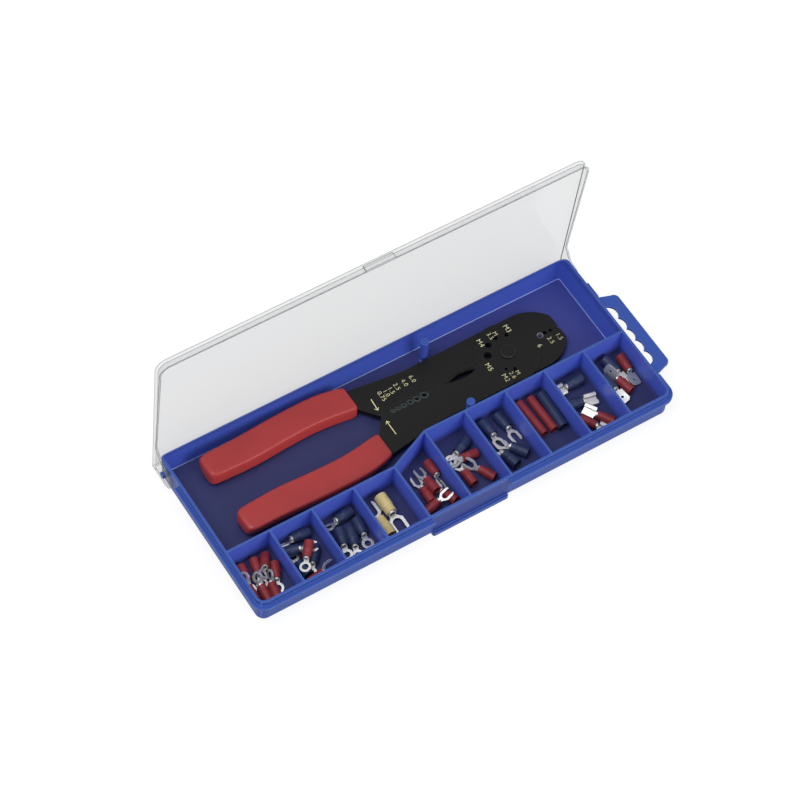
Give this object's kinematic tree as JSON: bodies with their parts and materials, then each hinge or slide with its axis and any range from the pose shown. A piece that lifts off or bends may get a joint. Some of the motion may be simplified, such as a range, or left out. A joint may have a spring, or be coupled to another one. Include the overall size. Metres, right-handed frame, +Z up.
{
  "type": "crimping tool and terminal kit",
  "caption": "Hinged tray with a clear lid, holding a pliers-like crimping and wire stripping tool in one well and insulated crimp terminals in a row of cells.",
  "frame": {"origin": "centre of the tray's flat underside", "axes": "+X along the case towards its hang tab, +Y towards the hinge, +Z up out of the tray"},
  "size_m": [0.2859, 0.1185, 0.116],
  "materials": {
    "blue_plastic": "moulded royal blue",
    "clear_plastic": "clear, polished",
    "black_steel": "black oxide, satin",
    "red_grip": "dipped vinyl, satin",
    "rivet_steel": "black, satin",
    "red_sleeve": "satin vinyl",
    "blue_sleeve": "satin vinyl",
    "yellow_sleeve": "satin vinyl",
    "tinned_copper": "bright tin"
  },
  "bodies": {
    "case": {"tray": "blue_plastic", "partition": "blue_plastic", "dividers": "blue_plastic", "hang_tab": "blue_plastic", "pivot_rivet": "rivet_steel", "red_ring_sleeves": "red_sleeve", "red_ring_lugs": "tinned_copper", "blue_ring_sleeves": "blue_sleeve", "blue_ring_lugs": "tinned_copper", "yellow_fork_sleeves": "yellow_sleeve", "yellow_fork_lugs": "tinned_copper", "red_fork_sleeves": "red_sleeve", "red_fork_lugs": "tinned_copper", "blue_fork_sleeves": "blue_sleeve", "blue_fork_lugs": "tinned_copper", "red_butt_sleeves": "red_sleeve", "red_butt_barrels": "tinned_copper", "blue_butt_sleeves": "blue_sleeve", "blue_butt_barrels": "tinned_copper", "red_push_on_sleeves": "red_sleeve", "red_push_on_lugs": "tinned_copper", "blue_push_on_sleeves": "blue_sleeve", "blue_push_on_lugs": "tinned_copper", "red_tab_sleeves": "red_sleeve", "red_tab_lugs": "tinned_copper", "blue_tab_sleeves": "blue_sleeve", "blue_tab_lugs": "tinned_copper"},
    "lid": {"lid": "clear_plastic"},
    "back_half": {"lever_back": "black_steel", "grip_back": "red_grip"},
    "front_half": {"lever_front": "black_steel", "grip_front": "red_grip"}
  },
  "joints": [
    {"name": "lid_hinge", "type": "hinge", "parent": "case", "child": "lid", "pos_m": [0, 0.0474, 0.0098], "axis": [1, 0, 0], "range_deg": [-6, 86]},
    {"name": "back_half_swing", "type": "hinge", "parent": "case", "child": "back_half", "pos_m": [0.0755, 0.0218, 0.00445], "axis": [0.0249, 0.0005, 0.9997], "range_deg": [-1.8, 0]},
    {"name": "front_half_swing", "type": "hinge", "parent": "case", "child": "front_half", "pos_m": [0.0755, 0.0218, 0.00445], "axis": [0.0249, 0.0005, 0.9997], "range_deg": [0, 1.8]}
  ],
  "couplings": [
    {"joint": "front_half_swing", "follows": "back_half_swing", "ratio": -1}
  ]
}
